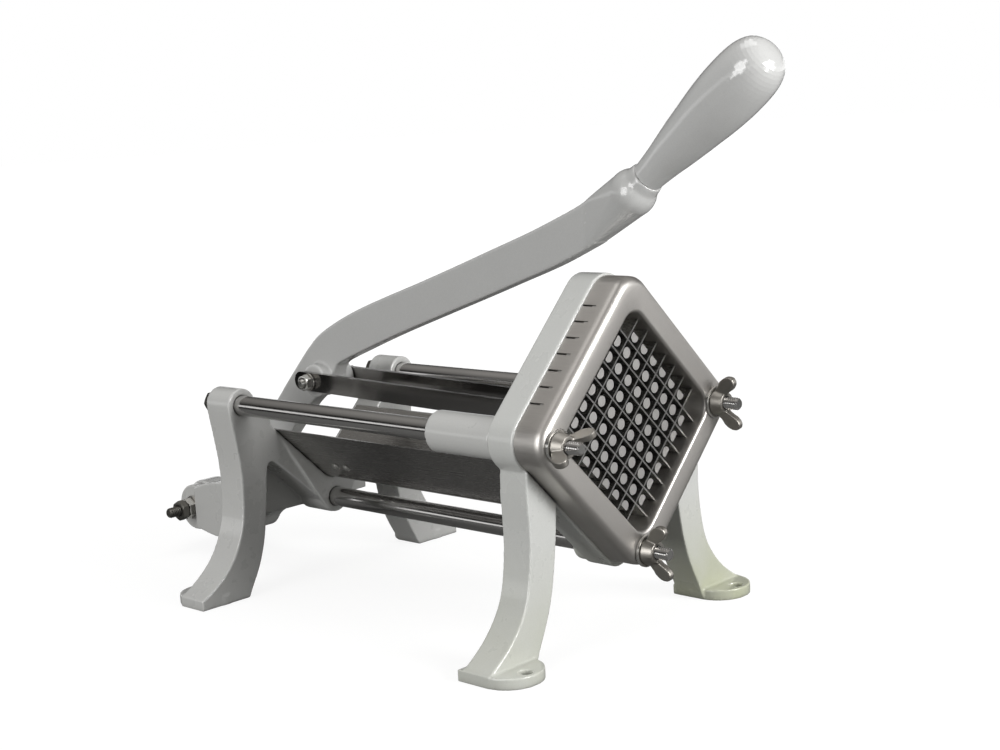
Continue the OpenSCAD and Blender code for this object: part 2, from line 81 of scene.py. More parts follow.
def make_camera():
    """The photograph's viewpoint: its azimuth, height and slight roll."""
    data = bpy.data.cameras.new("photo_camera")
    data.sensor_width = SENSOR
    data.lens = FOCAL_PIXELS / PICTURE_WIDTH * SENSOR
    data.clip_start = 0.01
    data.clip_end = 50
    camera = bpy.data.objects.new("photo_camera", data)
    bpy.context.scene.collection.objects.link(camera)
    flat = math.cos(CAMERA_HEIGHT)
    back = Vector((math.sin(CAMERA_AZIMUTH) * flat, -math.cos(CAMERA_AZIMUTH) * flat,
                   math.sin(CAMERA_HEIGHT)))
    level = Vector((0, 0, 1)).cross(back).normalized()
    upright = back.cross(level)
    right = level * math.cos(CAMERA_ROLL) + upright * math.sin(CAMERA_ROLL)
    up = upright * math.cos(CAMERA_ROLL) - level * math.sin(CAMERA_ROLL)
    turn = Matrix((right, up, back)).transposed().to_4x4()
    camera.matrix_world = Matrix.Translation(CAMERA_AT) @ turn
    bpy.context.scene.camera = camera


# ---------------------------------------------------------------- shading tools

class Graph:
    """Adds nodes to a material's or a group's tree and links them."""

    def __init__(self, tree):
        self.tree = tree

    def add(self, kind, values=None, **settings):
        node = self.tree.nodes.new(kind)
        for name, value in settings.items():
            setattr(node, name, value)
        for socket, value in (values or {}).items():
            if isinstance(value, bpy.types.NodeSocket):
                self.link(value, node.inputs[socket])
            else:
                node.inputs[socket].default_value = value
        return node

    def link(self, value, socket):
        self.tree.links.new(value, socket)

    def math(self, operation, first, second):
        node = self.add("ShaderNodeMath", {0: first, 1: second}, operation=operation)
        return node.outputs[0]

    def mix(self, factor, first, second, blend="MIX"):
        """Two colours mixed; 6 and 7 are the node's colour inputs, 2 its colour output."""
        node = self.add("ShaderNodeMix", {0: factor, 6: first, 7: second},
                        data_type="RGBA", blend_type=blend)
        return node.outputs[2]

    def spread(self, value, low, high, to_low=0.0, to_high=1.0):
        """A value's range low to high, carried over to another range."""
        node = self.add("ShaderNodeMapRange", {0: value, 1: low, 2: high, 3: to_low, 4: to_high})
        return node.outputs[0]

    def noise(self, vector, scale, detail, roughness):
        node = self.add("ShaderNodeTexNoise", {"Vector": vector, "Scale": scale,
                                               "Detail": detail, "Roughness": roughness})
        return node.outputs["Fac"]


def make_group(name, inputs, outputs):
    """An empty node group: inputs are (name, kind, default), outputs are (name, kind)."""
    group = bpy.data.node_groups.new(name, "ShaderNodeTree")
    for label, kind, default in inputs:
        socket = group.interface.new_socket(label, in_out="INPUT", socket_type=kind)
        socket.default_value = default
    for label, kind in outputs:
        group.interface.new_socket(label, in_out="OUTPUT", socket_type=kind)
    graph = Graph(group)
    return group, graph, graph.add("NodeGroupInput"), graph.add("NodeGroupOutput")


FLOAT = "NodeSocketFloat"
VECTOR = "NodeSocketVector"


def build_cast_skin():
    """Fine sand grain under thick enamel, with slow waves and a faint mottle."""
    group, g, put, out = make_group("cast_skin", [
        ("Grain size", FLOAT, 0.0009), ("Wave size", FLOAT, 0.012)],
        [("Height", FLOAT), ("Mottle", FLOAT), ("Speckle", FLOAT)])
    place = g.add("ShaderNodeTexCoord").outputs["Object"]
    grain_scale = g.math("DIVIDE", 1.0, put.outputs["Grain size"])
    wave_scale = g.math("DIVIDE", 1.0, put.outputs["Wave size"])
    grain = g.noise(place, grain_scale, 2.0, 0.55)
    wave = g.noise(place, wave_scale, 2.0, 0.4)
    grain_share = 0.35
    height = g.math("ADD", g.math("MULTIPLY", grain, grain_share),
                    g.math("MULTIPLY", wave, 1 - grain_share))
    mottle_scale, speckle_scale = 38.0, 1700.0
    speck = g.noise(place, speckle_scale, 1.0, 0.5)
    g.link(height, out.inputs["Height"])
    g.link(g.noise(place, mottle_scale, 4.0, 0.6), out.inputs["Mottle"])
    g.link(g.spread(speck, 0.35, 0.65), out.inputs["Speckle"])
    return group


def build_brushing():
    """Long fine lines; Stretch shortens the coordinate along which the lines run."""
    group, g, put, out = make_group("brushing", [
        ("Stretch", VECTOR, (1.0, 0.02, 1.0)), ("Fineness", FLOAT, 2600.0)],
        [("Line", FLOAT), ("Cloud", FLOAT)])
    place = g.add("ShaderNodeTexCoord").outputs["Object"]
    drawn = g.add("ShaderNodeVectorMath", {0: place, 1: put.outputs["Stretch"]},
                  operation="MULTIPLY").outputs[0]
    line = g.noise(drawn, put.outputs["Fineness"], 3.0, 0.7)
    cloud_scale = 24.0
    g.link(g.spread(line, 0.3, 0.7), out.inputs["Line"])
    g.link(g.noise(place, cloud_scale, 3.0, 0.6), out.inputs["Cloud"])
    return group


def build_crevice():
    """Painted shade mask: darker where surfaces meet within Reach, broken up by noise."""
    group, g, put, out = make_group("crevice", [("Reach", FLOAT, 0.004)], [("Painted shade", FLOAT)])
    shut = g.add("ShaderNodeAmbientOcclusion", {"Distance": put.outputs["Reach"]}, samples=8)
    place = g.add("ShaderNodeTexCoord").outputs["Object"]
    patch_scale = 300.0
    patch = g.spread(g.noise(place, patch_scale, 3.0, 0.6), 0.3, 0.7, 0.55, 1.0)
    closed = g.spread(shut.outputs["AO"], 0.85, 0.25)
    g.link(g.math("MULTIPLY", closed, patch), out.inputs["Painted shade"])
    return group


def build_painted_edge_highlight():
    """Painted highlight mask on convex edges, broken up by noise."""
    group, g, put, out = make_group("painted_edge_highlight", [
        ("Start", FLOAT, 0.53), ("End", FLOAT, 0.6)], [("Painted highlight", FLOAT)])
    bend = g.add("ShaderNodeNewGeometry").outputs["Pointiness"]
    place = g.add("ShaderNodeTexCoord").outputs["Object"]
    highlight_break_scale = 260.0
    broken = g.spread(g.noise(place, highlight_break_scale, 4.0, 0.65), 0.4, 0.62)
    edge = g.spread(bend, put.outputs["Start"], put.outputs["End"])
    g.link(g.math("MULTIPLY", edge, broken), out.inputs["Painted highlight"])
    return group


CAST_SKIN = build_cast_skin()
BRUSHING = build_brushing()
CREVICE = build_crevice()
PAINTED_EDGE_HIGHLIGHT = build_painted_edge_highlight()


def bare_material(name):
    """A new material, its empty graph and the graph's output node."""
    material = bpy.data.materials.new(name)
    material.use_nodes = True
    material.node_tree.nodes.clear()
    graph = Graph(material.node_tree)
    return material, graph, graph.add("ShaderNodeOutputMaterial")


def make_surface(name, **constants):
    """A material with its own Principled shader; constants go on the shader's sockets."""
    material, graph, out = bare_material(name)
    shader = graph.add("ShaderNodeBsdfPrincipled")
    for label, value in constants.items():
        shader.inputs[label.replace("_", " ")].default_value = value
    graph.link(shader.outputs[0], out.inputs["Surface"])
    return material, graph, shader


def feed(graph, shader, **sockets):
    for label, value in sockets.items():
        graph.link(value, shader.inputs[label.replace("_", " ")])


def bump(graph, shader, height, distance):
    node = graph.add("ShaderNodeBump", {"Height": height, "Distance": distance,
                                        "Strength": 1.0})
    graph.link(node.outputs[0], shader.inputs["Normal"])


def use_group(graph, group, **values):
    node = graph.add("ShaderNodeGroup", node_tree=group)
    for label, value in values.items():
        node.inputs[label.replace("_", " ")].default_value = value
    return node.outputs


def toned(shade, share):
    """A colour multiplied by share, kept opaque."""
    return tuple(min(1.0, c * share) for c in shade[:3]) + (1.0,)


def cast_enamel(name, shade, roughness, grain_depth):
    """Glossy grey enamel on a sand casting, with painted highlights on edges and painted shade
    in corners.
    """
    painted_shade_colour = (0.12, 0.115, 0.105, 1)
    material, g, shader = make_surface(name, Coat_Weight=0.6, Coat_Roughness=0.09,
                                       Specular_IOR_Level=0.5)
    skin = use_group(g, CAST_SKIN, Grain_size=0.0011, Wave_size=0.011)
    # Painted shade: the enamel is made darker in corners where surfaces meet.
    painted_shade = use_group(g, CREVICE, Reach=0.005)["Painted shade"]
    # Painted highlight: the convex edges are made lighter.
    highlight_mask = use_group(g, PAINTED_EDGE_HIGHLIGHT, Start=0.515, End=0.57)["Painted highlight"]
    plain = g.mix(skin["Mottle"], toned(shade, 0.975), toned(shade, 1.02))
    light = g.mix(g.math("MULTIPLY", highlight_mask, 0.5), plain, toned(shade, 1.3))
    specked = g.mix(g.math("MULTIPLY", skin["Speckle"], 0.16), light, toned(shade, 0.74))
    with_painted_shade = g.mix(g.math("MULTIPLY", painted_shade, 0.5), specked, painted_shade_colour)
    rough = g.spread(skin["Mottle"], 0.3, 0.7, roughness - 0.02, roughness + 0.03)
    feed(g, shader, Base_Color=with_painted_shade, Roughness=rough)
    bump(g, shader, skin["Height"], grain_depth)
    return material


def brushed_steel(name, shade, stretch, fineness, roughness, contrast=0.10, depth=0.000006):
    """Stainless sheet with lines drawn along one direction."""
    painted_shade_colour = (0.09, 0.085, 0.08, 1)
    material, g, shader = make_surface(name, Metallic=1.0)
    lines = use_group(g, BRUSHING, Stretch=stretch, Fineness=fineness)
    # Painted shade: the sheet is made darker where surfaces meet.
    painted_shade = use_group(g, CREVICE, Reach=0.003)["Painted shade"]
    base = g.mix(lines["Line"], toned(shade, 1 - contrast), shade)
    cloudy = g.mix(g.spread(lines["Cloud"], 0.35, 0.7, 0.0, 0.25), base, toned(shade, 0.78))
    with_painted_shade = g.mix(g.math("MULTIPLY", painted_shade, 0.6), cloudy, painted_shade_colour)
    rough = g.spread(lines["Line"], 0.0, 1.0, roughness - 0.03, roughness + 0.05)
    feed(g, shader, Base_Color=with_painted_shade, Roughness=rough)
    bump(g, shader, lines["Line"], depth)
    return material


def polished_metal(name, shade, roughness, smear=0.25):
    """Smooth metal with faint smears and painted shade in its creases."""
    painted_shade_colour = (0.03, 0.028, 0.025, 1)
    material, g, shader = make_surface(name, Metallic=1.0)
    clouds = use_group(g, BRUSHING, Stretch=(1.0, 1.0, 1.0), Fineness=700.0)
    # Painted shade: the metal is made darker in creases where surfaces meet.
    painted_shade = use_group(g, CREVICE, Reach=0.002)["Painted shade"]
    base = g.mix(g.spread(clouds["Cloud"], 0.35, 0.7, 0.0, smear), shade, toned(shade, 0.7))
    with_painted_shade = g.mix(g.math("MULTIPLY", painted_shade, 0.75), base, painted_shade_colour)
    rough = g.spread(clouds["Cloud"], 0.3, 0.7, roughness, roughness + 0.08)
    feed(g, shader, Base_Color=with_painted_shade, Roughness=rough)
    return material


def yellow_feet(material):
    """Tints the front casting's enamel yellow low down, most of all on its right foot."""
    yellow = (0.80, 0.82, 0.60, 1)
    patch_scale = 45.0
    sole, ankle, left_end, right_end = 0.006, 0.060, -0.11, 0.08
    g = Graph(material.node_tree)
    shader = next(node for node in material.node_tree.nodes
                  if node.bl_idname == "ShaderNodeBsdfPrincipled")
    untinted = shader.inputs["Base Color"].links[0].from_socket
    place = g.add("ShaderNodeTexCoord").outputs["Object"]
    axes = g.add("ShaderNodeSeparateXYZ", {0: place}).outputs
    low = g.spread(axes["Z"], ankle, sole)
    right = g.spread(axes["X"], left_end, right_end, 0.25, 1.0)
    patch = g.spread(g.noise(place, patch_scale, 3.0, 0.6), 0.3, 0.7, 0.55, 1.0)
    yellow_tint = g.math("MULTIPLY", g.math("MULTIPLY", low, right), patch)
    feed(g, shader, Base_Color=g.mix(yellow_tint, untinted, yellow, "MULTIPLY"))
    return material


# Brushed lines run along Y, longer where its share is smaller.
PAN_LINES = (1.0, 0.03, 1.0)
TROUGH_LINES = (1.0, 0.02, 1.0)
BLADE_LINES = (1.0, 0.05, 1.0)
PIN_LINES = (1.0, 0.2, 1.0)

# Height of a casting's grain, in metres
COARSE_CAST, FINE_CAST, SMOOTH_CAST = 0.00006, 0.00005, 0.00001

# front_enamel and grip_enamel are lighter copies of the one enamel and lever_enamel a darker
# one: painted light on the front casting and the grip, painted shade on the lever.
ENAMEL = cast_enamel("cast_enamel", (0.50, 0.50, 0.485, 1), 0.28, COARSE_CAST)
FRONT_ENAMEL = yellow_feet(
    cast_enamel("front_enamel", (0.53, 0.535, 0.515, 1), 0.28, COARSE_CAST))
LEVER_ENAMEL = cast_enamel("lever_enamel", (0.47, 0.47, 0.46, 1), 0.25, FINE_CAST)
GRIP_ENAMEL = cast_enamel("grip_enamel", (0.53, 0.53, 0.52, 1), 0.16, SMOOTH_CAST)
PAN_STEEL = brushed_steel("pan_steel", (0.54, 0.52, 0.495, 1), PAN_LINES, 2200.0, 0.42)
TROUGH_STEEL = brushed_steel("trough_steel", (0.46, 0.45, 0.435, 1), TROUGH_LINES, 2400.0, 0.24)
BLADE_STEEL = brushed_steel("blade_steel", (0.55, 0.545, 0.53, 1), BLADE_LINES, 3000.0, 0.28)
PIN_STEEL = brushed_steel("pin_steel", (0.50, 0.49, 0.475, 1), PIN_LINES, 3000.0, 0.46)
CHROME = polished_metal("rod_chrome", (0.60, 0.59, 0.58, 1), 0.10)
LINK_CHROME = polished_metal("link_chrome", (0.33, 0.32, 0.31, 1), 0.08)
BRIGHT_ZINC = polished_metal("bright_zinc", (0.78, 0.77, 0.74, 1), 0.18)
WING_STEEL = polished_metal("wing_nut_steel", (0.31, 0.295, 0.27, 1), 0.40, 0.35)
DARK_STEEL = polished_metal("dark_steel", (0.17, 0.165, 0.15, 1), 0.34, 0.4)
BRONZE = polished_metal("bronze", (0.45, 0.30, 0.14, 1), 0.30)

# ---------------------------------------------------------------- mesh tools


ALL_SMOOTH = 180        # degrees: no edge is sharper, so none stays sharp


def coat(mesh, material, smooth_below):
    """One material all over, shaded smooth but for edges sharper than this many degrees."""
    mesh.materials.clear()
    mesh.materials.append(material)
    mesh.shade_smooth()
    if smooth_below < ALL_SMOOTH:
        mesh.set_sharp_from_angle(angle=math.radians(smooth_below))


def add_piece(name, mesh, material, body, node, smooth_below=35):
    """A finished mesh becomes a piece: shaded, on its body and in place of its CAD node."""
    piece = bpy.data.objects.new(name, mesh)
    bpy.context.scene.collection.objects.link(piece)
    coat(mesh, material, smooth_below)
    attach(piece, body)
    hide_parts(node)
    return piece


def mesh_from(name, points, faces):
    mesh = bpy.data.meshes.new(name)
    mesh.from_pydata(points, [], faces)
    mesh.update()
    return mesh


def settle(piece):
    """Applies a piece's modifiers."""
    graph = bpy.context.evaluated_depsgraph_get()
    graph.update()
    mesh = bpy.data.meshes.new_from_object(piece.evaluated_get(graph))
    piece.modifiers.clear()
    piece.data = mesh
    return mesh


def face_outward(mesh, merge=False):
    """Turns all faces outward, after joining points that coincide where merge is set."""
    clean = bmesh.new()
    clean.from_mesh(mesh)
    if merge:
        bmesh.ops.remove_doubles(clean, verts=clean.verts, dist=1e-6)
    bmesh.ops.recalc_face_normals(clean, faces=clean.faces)
    clean.to_mesh(mesh)
    clean.free()


def join_meshes(name, meshes):
    """One mesh from several."""
    whole = bmesh.new()
    for mesh in meshes:
        whole.from_mesh(mesh)
    joined = bpy.data.meshes.new(name)
    whole.to_mesh(joined)
    whole.free()
    return joined


def place_y(x, y, z):
    """Local Z runs along +Y from this point, in millimetres."""
    return Matrix.Translation(Vector((x, y, z)) * MM) @ Matrix.Rotation(-math.pi / 2, 4, "X")


def place_x(x, y, z, flip=False):
    """Local Z runs along +X, or along -X when flipped."""
    turn = -math.pi / 2 if flip else math.pi / 2
    return Matrix.Translation(Vector((x, y, z)) * MM) @ Matrix.Rotation(turn, 4, "Y")


def swept_points(rows, around, radius_at):
    """Each (radius, height) row in millimetres, carried round Z.

    radius_at(radius, height, angle) may change a point's radius and height.
    """
    points = []
    for radius, height in rows:
        for k in range(around):
            angle = TAU * k / around
            r, h = radius_at(radius, height, angle) if radius_at else (radius, height)
            points.append(Vector((r * math.cos(angle), r * math.sin(angle), h)) * MM)
    return points


def band_faces(rows, around):
    """Faces between neighbouring rows of points, each row closed on itself."""
    faces = []
    for row in range(rows - 1):
        for k in range(around):
            a, b = row * around + k, row * around + (k + 1) % around
            faces.append((a, b, b + around, a + around))
    return faces


def turned(name, rows, place, around=64, radius_at=None):
    """A solid of revolution from (radius, height) rows, with flat ends where they are open."""
    faces = band_faces(len(rows), around)
    last = (len(rows) - 1) * around
    if rows[0][0] > 0:
        faces.append(tuple(reversed(range(around))))
    if rows[-1][0] > 0:
        faces.append(tuple(range(last, last + around)))
    mesh = mesh_from(name, swept_points(rows, around, radius_at), faces)
    mesh.transform(place)
    face_outward(mesh, merge=True)
    return mesh


def turned_ring(name, rows, place, around=64, radius_at=None):
    """A closed ring: the last row is the first one again, so it has no end faces."""
    points = swept_points(rows[:-1], around, radius_at)
    faces = [tuple(corner % len(points) for corner in face)
             for face in band_faces(len(rows), around)]
    mesh = mesh_from(name, points, faces)
    mesh.transform(place)
    face_outward(mesh)
    return mesh


def ring_mesh(name, inner, outer, thick, place, round_edge=0.25):
    """A washer with softly broken edges."""
    e = round_edge
    rows = [(inner, e), (inner + e, 0), (outer - e, 0), (outer, e), (outer, thick - e),
            (outer - e, thick), (inner + e, thick), (inner, thick - e), (inner, e)]
    return turned_ring(name, rows, place)


HEX_AROUND = 72
HEX_START = 0.499       # rows from this share of the flats outward take the hexagon's outline
HEX_CONE = 0.492        # the cone that cuts the corners starts at this share of the flats
HEX_LIP = 0.02          # height of the edge between a face and its cone


def hex_outline(across_flats, middle):
    """A hexagon as radius by angle, its corners cut by a 30 degree cone away from middle."""
    def at(radius, height, angle):
        if radius < across_flats * HEX_START:
            return radius, height
        inside = math.radians((math.degrees(angle) % 60) - 30)
        reach = across_flats / 2 / math.cos(inside)
        fall = (reach - across_flats * HEX_CONE) * math.tan(math.radians(30))
        return reach, height - math.copysign(fall, height - middle)
    return at


def nut_mesh(name, across_flats, thick, bore, place):
    """A hexagon nut with chamfered corners and a countersunk hole."""
    face, sink = across_flats * 0.47, 0.5
    rows = [(bore, sink), (bore + sink, 0), (face, 0), (across_flats, HEX_LIP),
            (across_flats, thick - HEX_LIP), (face, thick), (bore + sink, thick),
            (bore, thick - sink), (bore, sink)]
    return turned_ring(name, rows, place, HEX_AROUND, hex_outline(across_flats, thick / 2))


def head_mesh(name, across_flats, thick, place):
    """A bolt's hexagon head, standing up from its seat."""
    seat, crown, dish = (across_flats * share for share in (0.47, 0.44, 0.36))
    dish_depth = 0.15
    rows = [(0, 0), (seat, 0), (across_flats, HEX_LIP), (across_flats, thick - HEX_LIP),
            (crown, thick), (dish, thick - dish_depth), (0, thick - dish_depth)]
    return turned(name, rows, place, HEX_AROUND, hex_outline(across_flats, thick * 0.2))


def thread_mesh(name, radius, pitch, length, place):
    """A screw thread with a true helix, chamfered at its free end."""
    around, steps_a_turn, chamfer = 36, 6, 0.9
    depth = pitch * 0.5
    rows = int(length / pitch * steps_a_turn)
    points = []
    for row in range(rows + 1):
        height = length * row / rows
        limit = radius - max(0.0, chamfer - (length - height))
        for k in range(around):
            phase = (height / pitch - k / around) % 1.0
            r = min(limit, radius - depth * (1 - abs(2 * phase - 1)))
            angle = TAU * k / around
            points.append(Vector((r * math.cos(angle), r * math.sin(angle), height)) * MM)
    faces = band_faces(rows + 1, around)
    faces.append(tuple(reversed(range(around))))
    faces.append(tuple(range(rows * around, (rows + 1) * around)))
    mesh = mesh_from(name, points, faces)
    mesh.transform(place)
    return mesh


def cast_piece(name, node, voxel, passes, material):
    """A casting: the CAD solid with its edges melted round and its inner corners filleted."""
    source = frame["nodes"][node]
    piece = add_piece(name, source.data.copy(), material, source["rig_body"], node,
                      smooth_below=ALL_SMOOTH)
    skin = piece.modifiers.new("skin", "REMESH")
    skin.mode = "VOXEL"
    skin.voxel_size = voxel * MM
    soften = piece.modifiers.new("soften", "SMOOTH")
    soften.factor = 0.5
    soften.iterations = passes
    coat(settle(piece), material, ALL_SMOOTH)


def dress_node(node, material, bevel=0.0, smooth_below=30):
    """A CAD node that stays gets its material, and softly broken edges where a bevel is given.
    """
    thing = frame["nodes"][node]
    coat(thing.data, material, smooth_below)
    if bevel:
        edge = thing.modifiers.new("edge", "BEVEL")
        edge.width = bevel * MM
        edge.segments = 2
        edge.limit_method = "ANGLE"
        edge.angle_limit = math.radians(40)
        edge.harden_normals = True


# ---------------------------------------------------------------- sizes in millimetres

ROD_X, AXIS_Z, TIE_Z = 60.5, 108.0, 44.5
ROD_PLACES = ((-ROD_X, AXIS_Z), (ROD_X, AXIS_Z), (0.0, TIE_Z))
PAN_FRONT, FRAME_FRONT = -7.0, 10.0
PIVOT = (342.0, 26.0)               # y and z of the lever's pivot in the fork
LINK_PIN = (220.5, 114.0)           # y and z of the links' bolt in the lever
STUD_RADIUS, STUD_PITCH = 3.2, 1.27
THIN_BOLT, THIN_PITCH = 2.5, 0.8
FAT_NUT, THIN_NUT = 11.0, 8.0       # across flats: on the rods and the fork, on the links


def corners(node):
    """A CAD node's lowest and highest corner at rest, in millimetres."""
    low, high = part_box(node)
    return Vector(low) / MM, Vector(high) / MM


# ---------------------------------------------------------------- pieces


def make_castings():
    frame_voxel, moving_voxel, passes, lever_passes = 0.55, 0.6, 6, 8
    for name, node, voxel, soft, material in (
            ("front_casting", "front_frame", frame_voxel, passes, FRONT_ENAMEL),
            ("rear_casting", "rear_frame", frame_voxel, passes, ENAMEL),
            ("pusher_casting", "pusher_block", moving_voxel, passes, ENAMEL),
            ("lever_casting", "lever_arm", moving_voxel, lever_passes, LEVER_ENAMEL)):
        cast_piece(name, node, voxel, soft, material)


def make_grip():
    dress_node("lever_grip", GRIP_ENAMEL, smooth_below=60)
    dress_node("grip_stud", BRIGHT_ZINC)


def make_rods():
    """Guide rods and tie rod: polished shank, threaded stud in front, thread behind."""
    shank_front, shank_back, chamfer, around = 14.0, 243.0, 0.5, 96
    length = shank_back - shank_front
    for name, node, (x, z) in zip(("guide_bar_left", "guide_bar_right", "tie_bar"),
                                  ("guide_rod_left", "guide_rod_right", "tie_rod_bottom"),
                                  ROD_PLACES):
        low, high = corners(node)
        r = (high.x - low.x) / 2
        rows = [(0, 0), (r - chamfer, 0), (r, chamfer), (r, length - chamfer),
                (r - chamfer, length), (0, length)]
        shank = turned(name + "_shank", rows, place_y(x, shank_front, z), around)
        front = thread_mesh(name + "_front", STUD_RADIUS, STUD_PITCH, shank_front - low.y,
                            place_y(x, shank_front, z) @ Matrix.Rotation(math.pi, 4, "X"))
        rear = thread_mesh(name + "_rear", STUD_RADIUS, STUD_PITCH, high.y - shank_back,
                           place_y(x, shank_back, z))
        mesh = join_meshes(name, (shank, front, rear))
        add_piece(name, mesh, CHROME, "stand", node)


def make_rod_fasteners():
    """Washers and nuts behind the rear casting, and the large washers under the wing nuts."""
    for name, node in (("rear_washers", "rod_rear_washers"),
                       ("wing_washers", "wing_nut_washers")):
        low, high = corners(node)
        rings = [ring_mesh("ring", STUD_RADIUS, high.x - ROD_X, high.y - low.y,
                           place_y(x, low.y, z)) for x, z in ROD_PLACES]
        add_piece(name, join_meshes(name, rings), BRIGHT_ZINC, "stand", node)
    low, high = corners("rod_rear_nuts")
    nuts = [nut_mesh("nut", FAT_NUT, high.y - low.y, STUD_RADIUS, place_y(x, low.y, z))
            for x, z in ROD_PLACES]
    add_piece("rear_nuts", join_meshes("rear_nuts", nuts), DARK_STEEL,
              "stand", "rod_rear_nuts")


def make_wing_nuts():
    voxel, passes = 0.3, 6
    for side in ("left", "right", "bottom"):
        cast_piece(f"{side}_wing_nut_piece", f"wing_nut_{side}", voxel, passes, WING_STEEL)


def round_square(half, corner, marks):
    """Points round a square with round corners: on each side its marks, then an arc."""
    points = []
    steps = 10
    straight = half - corner
    for side in range(4):
        turn = Matrix.Rotation(side * math.pi / 2, 2)
        for mark in [-straight, *marks, straight]:
            points.append(turn @ Vector((half, mark)))
        for k in range(1, steps):
            angle = math.pi / 2 * k / steps
            points.append(turn @ Vector((straight + corner * math.cos(angle),
                                         straight + corner * math.sin(angle))))
    return points


def make_pan():
    """Drawn stainless pan: slotted side wall, round edge, front ring and slotted inner wall."""
    half, corner, sheet, edge = 54.2, 14.0, 1.2, 4.0
    mouth, mouth_corner, roll = 40.5, 9.0, 1.6
    cell, wide_slot, narrow_slot = 9.525, 1.1, 0.9
    slot_front, inner_slot_front, wall_front = 1.5, -2.1, -2.0
    ring_half, ring_corner, seat_gap = 48.0, 11.4, 0.1
    quarter_steps, slots = 6, 7

    def slot_marks(slot):
        return [(i - slots // 2) * cell + side * slot / 2 for i in range(slots)
                for side in (-1, 1)]

    rows = [(half, corner, FRAME_FRONT, wide_slot), (half, corner, slot_front, wide_slot),
            (half, corner, wall_front, wide_slot)]
    for step in range(1, quarter_steps + 1):
        angle = math.radians(90 / quarter_steps * step)
        inset = edge * (1 - math.cos(angle))
        rows.append((half - inset, corner - inset * 0.6,
                     PAN_FRONT + edge * (1 - math.sin(angle)), wide_slot))
    rows.append((ring_half, ring_corner, PAN_FRONT, wide_slot))
    for step in range(quarter_steps + 1):
        angle = math.radians(90 / quarter_steps * step)
        swell = roll * (1 - math.sin(angle))
        rows.append((mouth + swell, mouth_corner + swell,
                     PAN_FRONT + roll * (1 - math.cos(angle)), narrow_slot))
    rows.append((mouth, mouth_corner, inner_slot_front, narrow_slot))
    rows.append((mouth, mouth_corner, FRAME_FRONT - seat_gap, narrow_slot))
    around = len(round_square(half, corner, slot_marks(wide_slot)))
    slant = Matrix.Rotation(math.pi / 4, 2)
    points = []
    for row_half, row_corner, y, slot in rows:
        for p in round_square(row_half, row_corner, slot_marks(slot)):
            q = slant @ p
            points.append(Vector((q.x, y, AXIS_Z + q.y)) * MM)
    per_side = around // 4
    last = len(rows) - 2
    faces = []
    for index, face in enumerate(band_faces(len(rows), around)):
        row, k = divmod(index, around)
        side, place = divmod(k, per_side)
        at_slot = place % 2 == 1 and place < 2 * slots
        outer_slot = row == 0 and side in (1, 3)
        if not (at_slot and (outer_slot or row == last)):
            faces.append(face)
    mesh = mesh_from("pan", points, faces)
    face_outward(mesh)
    piece = add_piece("pan", mesh, PAN_STEEL, "stand", "blade_pan")
    wall = piece.modifiers.new("sheet", "SOLIDIFY")
    wall.thickness = sheet * MM
    wall.offset = -1
    wall.use_even_offset = True
    coat(settle(piece), PAN_STEEL, 40)


def make_grid():
    dress_node("blades_front_set", BLADE_STEEL)
    dress_node("blades_rear_set", BLADE_STEEL)
    dress_node("pusher_pins", PIN_STEEL)
    dress_node("pusher_bushes", BRONZE)


def make_trough():
    dress_node("food_trough", TROUGH_STEEL, bevel=0.2)
    dress_node("trough_rivets", BRIGHT_ZINC)


def make_links():
    for bar in ("link_bar_left", "link_bar_right"):
        dress_node(bar, LINK_CHROME, bevel=0.5)
    dress_node("link_front_screws", BRIGHT_ZINC, bevel=0.6)


def cross_bolt(name, node, pin, radius, pitch, across, material, body):
    """A bolt along X: head on the right, plain shank, thread on the left."""
    low, high = corners(node)
    seat = corners(node.replace("bolt", "washers"))[1].x
    thread_length, overlap, shy, around = 16.0, 1.0, 0.02, 48
    plain = seat - low.x - thread_length
    rows = [(0, 0), (radius - shy, 0), (radius - shy, plain + overlap), (0, plain + overlap)]
    shank = turned("shank", rows, place_x(seat, *pin, flip=True), around)
    thread = thread_mesh("thread", radius, pitch, thread_length,
                         place_x(seat - plain, *pin, flip=True))
    head = head_mesh("head", across, high.x - seat, place_x(seat, *pin))
    add_piece(name, join_meshes(name, (shank, thread, head)), material, body, node)


def cross_rings(name, node, pin, bore, body):
    """The two washers of a cross bolt."""
    low, high = corners(node)
    fork_washer, link_washer = 1.6, 1.0
    thick = fork_washer if body == "stand" else link_washer
    outer = (high.z - low.z) / 2
    rings = [ring_mesh("ring", bore, outer, thick, place_x(x, *pin), round_edge=0.2)
             for x in (high.x - thick, low.x)]
    add_piece(name, join_meshes(name, rings), BRIGHT_ZINC, body, node)


def cross_nut(name, node, pin, bore, across, material, body):
    low, high = corners(node)
    mesh = nut_mesh(name, across, high.x - low.x, bore, place_x(low.x, *pin))
    add_piece(name, mesh, material, body, node)


def make_cross_bolts():
    """Bolts along X with their nuts and washers, at the fork and at the links."""
    cross_bolt("pivot_bolt_piece", "pivot_bolt", PIVOT, STUD_RADIUS, STUD_PITCH, FAT_NUT,
               DARK_STEEL, "stand")
    cross_rings("pivot_rings", "pivot_washers", PIVOT, STUD_RADIUS, "stand")
    cross_nut("pivot_nut_piece", "pivot_nut", PIVOT, STUD_RADIUS, FAT_NUT, BRIGHT_ZINC,
              "stand")
    cross_nut("pivot_lock_piece", "pivot_lock_nut", PIVOT, STUD_RADIUS, FAT_NUT, DARK_STEEL,
              "stand")
    cross_bolt("link_bolt_piece", "link_bolt", LINK_PIN, THIN_BOLT, THIN_PITCH, THIN_NUT,
               BRIGHT_ZINC, "lever")
    cross_rings("link_rings", "link_washers", LINK_PIN, THIN_BOLT, "lever")
    cross_nut("link_nut_piece", "link_bolt_nut", LINK_PIN, THIN_BOLT, THIN_NUT, BRIGHT_ZINC,
              "lever")


# ---------------------------------------------------------------- floor and light

